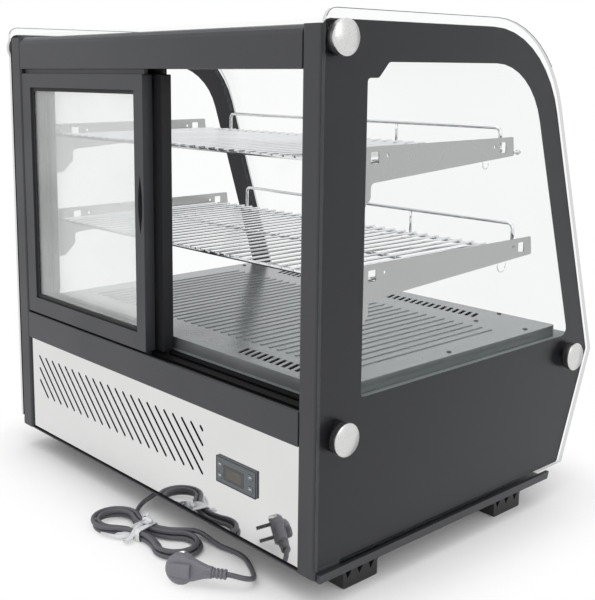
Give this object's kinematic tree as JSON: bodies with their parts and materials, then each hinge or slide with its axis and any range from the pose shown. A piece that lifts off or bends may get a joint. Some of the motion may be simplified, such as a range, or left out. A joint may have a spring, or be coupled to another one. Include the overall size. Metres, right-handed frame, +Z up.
{
  "type": "refrigerated display case",
  "caption": "Countertop refrigerated bakery display case with curved front glass, sliding rear glass doors, wire shelves, vented base and mains lead.",
  "frame": {"origin": "centre of the case on the counter, under the middle of its bounding box without the mains lead", "axes": "+X to the right of someone at the service doors, +Y towards the curved customer glass, +Z up"},
  "size_m": [0.726, 0.6607, 0.686],
  "materials": {
    "satin_black": "satin black powder coat",
    "print_black": "gloss black enamel print",
    "moulded_black": "moulded matte black",
    "rubber_black": "soft black",
    "polished_steel": "mirror polished stainless",
    "brushed_steel": "brushed stainless",
    "chrome_wire": "bright chrome plate",
    "grey_sheet": "grey coated sheet",
    "clear_glass": "clear with green edges",
    "lamp_white": "opal diffuser",
    "foam_white": "moulded liner",
    "fin_metal": "bare fins",
    "painted_black": "black enamel",
    "display_dark": "dark smoked window",
    "cord_grey": "dark grey flexible sheath",
    "tie_white": "white plastic band"
  },
  "bodies": {
    "case": {"base_pan": "satin_black", "left_post": "satin_black", "right_post": "satin_black", "header": "satin_black", "door_sill": "satin_black", "lower_front_panel": "satin_black", "rear_left_foot": "moulded_black", "rear_right_foot": "moulded_black", "front_left_foot": "moulded_black", "front_right_foot": "moulded_black", "controller_body": "moulded_black", "lamp_lens": "lamp_white", "rear_panel": "polished_steel", "controller_lens": "display_dark", "cord_gland": "rubber_black", "left_side_pane": "clear_glass", "right_side_pane": "clear_glass", "front_glass": "clear_glass", "left_side_print": "print_black", "right_side_print": "print_black", "left_top_cap": "brushed_steel", "left_lower_cap": "brushed_steel", "left_front_cap": "brushed_steel", "right_top_cap": "brushed_steel", "right_lower_cap": "brushed_steel", "right_front_cap": "brushed_steel", "upper_left_bracket": "brushed_steel", "upper_right_bracket": "brushed_steel", "lower_left_bracket": "brushed_steel", "lower_right_bracket": "brushed_steel", "insulated_tub": "foam_white", "deck": "grey_sheet", "left_upright": "grey_sheet", "right_upright": "grey_sheet", "upper_shelf": "chrome_wire", "lower_shelf": "chrome_wire", "upper_guard_rail": "chrome_wire", "lower_guard_rail": "chrome_wire", "condenser": "fin_metal", "evaporator": "fin_metal", "compressor": "painted_black", "condenser_fan_frame": "painted_black", "evaporator_fan_frame": "painted_black", "cord_lead": "cord_grey", "cord_hank": "cord_grey", "cord_tail": "cord_grey", "plug": "cord_grey", "cord_tie": "tie_white"},
    "outer_door": {"outer_door_frame": "satin_black", "outer_door_glass": "clear_glass", "outer_door_gasket": "rubber_black"},
    "inner_door": {"inner_door_frame": "satin_black", "inner_door_glass": "clear_glass", "inner_door_gasket": "rubber_black"},
    "condenser_rotor": {"condenser_fan_rotor": "moulded_black"},
    "evaporator_rotor": {"evaporator_fan_rotor": "moulded_black"},
    "left_upper_key_body": {"left_upper_key": "rubber_black"},
    "left_lower_key_body": {"left_lower_key": "rubber_black"},
    "right_upper_key_body": {"right_upper_key": "rubber_black"},
    "right_lower_key_body": {"right_lower_key": "rubber_black"}
  },
  "joints": [
    {"name": "outer_door_slide", "type": "slide", "parent": "case", "child": "outer_door", "axis": [1, 0, 0], "range_m": [0, 0.303]},
    {"name": "inner_door_slide", "type": "slide", "parent": "case", "child": "inner_door", "axis": [1, 0, 0], "range_m": [-0.015, 0.288]},
    {"name": "condenser_fan_spin", "type": "hinge", "parent": "case", "child": "condenser_rotor", "pos_m": [-0.1775, -0.2099, 0.0943], "axis": [0, 1, 0], "continuous": true},
    {"name": "evaporator_fan_spin", "type": "hinge", "parent": "case", "child": "evaporator_rotor", "pos_m": [0.112, -0.131, 0.208], "axis": [0, 1, 0], "continuous": true},
    {"name": "left_upper_key_press", "type": "slide", "parent": "case", "child": "left_upper_key_body", "axis": [0, 1, 0], "range_m": [0, 0.0006], "stiffness_N_per_m": 1500},
    {"name": "left_lower_key_press", "type": "slide", "parent": "case", "child": "left_lower_key_body", "axis": [0, 1, 0], "range_m": [0, 0.0006], "stiffness_N_per_m": 1500},
    {"name": "right_upper_key_press", "type": "slide", "parent": "case", "child": "right_upper_key_body", "axis": [0, 1, 0], "range_m": [0, 0.0006], "stiffness_N_per_m": 1500},
    {"name": "right_lower_key_press", "type": "slide", "parent": "case", "child": "right_lower_key_body", "axis": [0, 1, 0], "range_m": [0, 0.0006], "stiffness_N_per_m": 1500}
  ]
}
